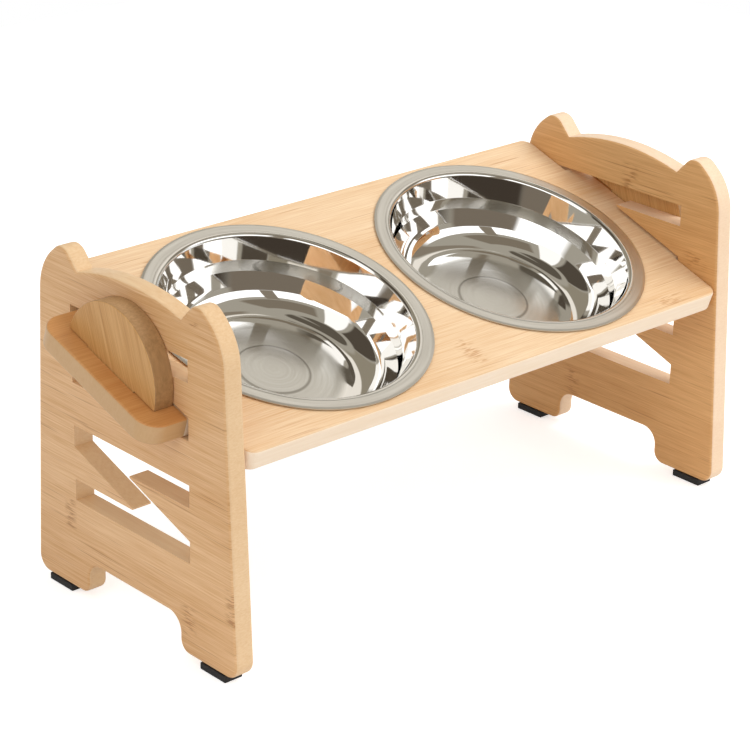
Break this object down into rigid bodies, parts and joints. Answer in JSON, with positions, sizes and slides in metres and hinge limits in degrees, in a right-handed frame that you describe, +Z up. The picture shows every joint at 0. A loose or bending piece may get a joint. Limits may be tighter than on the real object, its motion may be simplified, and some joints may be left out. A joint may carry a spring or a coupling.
{
  "type": "raised pet feeding station",
  "caption": "Tilted bamboo tray with steel bowls, carried by slotted side panels and locked by half-round keys, on rubber foot pads.",
  "frame": {"origin": "on the floor, midway between the two side panels and midway between their front and back edges", "axes": "+X along the tray from the left panel to the right panel, +Y from the low front edge of the tray to the high back edge, +Z up"},
  "size_m": [0.424, 0.1712, 0.1997],
  "materials": {
    "panel_bamboo": "satin varnished bamboo board, grain from front to back",
    "tray_bamboo": "satin varnished bamboo board, grain along the tray",
    "key_bamboo": "satin varnished bamboo board, grain upright",
    "bowl_steel": "mirror-polished stainless steel with a satin rim and bottom",
    "pad_rubber": "matt black rubber"
  },
  "bodies": {
    "stand": {"left_side_panel": "panel_bamboo", "right_side_panel": "panel_bamboo", "tray_board": "tray_bamboo", "foot_pad_left_front": "pad_rubber", "foot_pad_left_back": "pad_rubber", "foot_pad_right_front": "pad_rubber", "foot_pad_right_back": "pad_rubber"},
    "left_bowl": {"left_bowl": "bowl_steel"},
    "right_bowl": {"right_bowl": "bowl_steel"},
    "left_key": {"left_locking_key": "key_bamboo"},
    "right_key": {"right_locking_key": "key_bamboo"}
  },
  "joints": [
    {"name": "left_bowl_lift", "type": "slide", "parent": "stand", "child": "left_bowl", "axis": [0, -0.3206, 0.9472], "range_m": [0, 0.05]},
    {"name": "right_bowl_lift", "type": "slide", "parent": "stand", "child": "right_bowl", "axis": [0, -0.3206, 0.9472], "range_m": [0, 0.05]},
    {"name": "left_key_pull", "type": "slide", "parent": "stand", "child": "left_key", "axis": [0, -0.3206, 0.9472], "range_m": [0, 0.016]},
    {"name": "right_key_pull", "type": "slide", "parent": "stand", "child": "right_key", "axis": [0, -0.3206, 0.9472], "range_m": [0, 0.016]}
  ]
}
